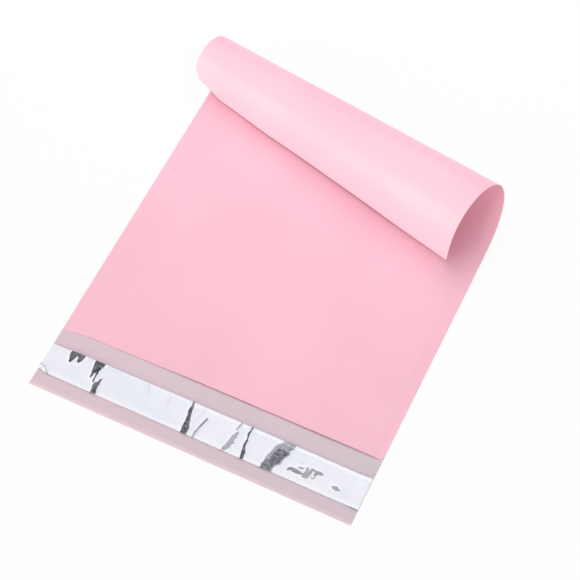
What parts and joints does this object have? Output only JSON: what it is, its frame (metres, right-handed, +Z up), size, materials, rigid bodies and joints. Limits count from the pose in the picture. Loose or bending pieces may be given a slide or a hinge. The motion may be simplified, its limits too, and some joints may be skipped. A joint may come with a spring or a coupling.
{
  "type": "poly mailer bag",
  "caption": "Flat film mailing envelope with a peel-and-seal flap, lying on its back with its bottom end curled over its front.",
  "frame": {"origin": "on the bag's flat underside, at mid-width and 135 mm from the flap's free edge", "axes": "+X across the bag, +Y from the flap towards the bottom fold, +Z up from the surface that the bag lies on"},
  "size_m": [0.2696, 0.3255, 0.0544],
  "materials": {
    "film": "satin co-extruded polyethylene film, soft pink outside and pinkish grey inside",
    "adhesive": "clear tacky hot-melt adhesive",
    "liner": "glossy crinkled release film, bluish white"
  },
  "bodies": {
    "root": {"film_bag": "film", "adhesive_strip": "adhesive", "release_liner": "liner"}
  },
  "joints": []
}
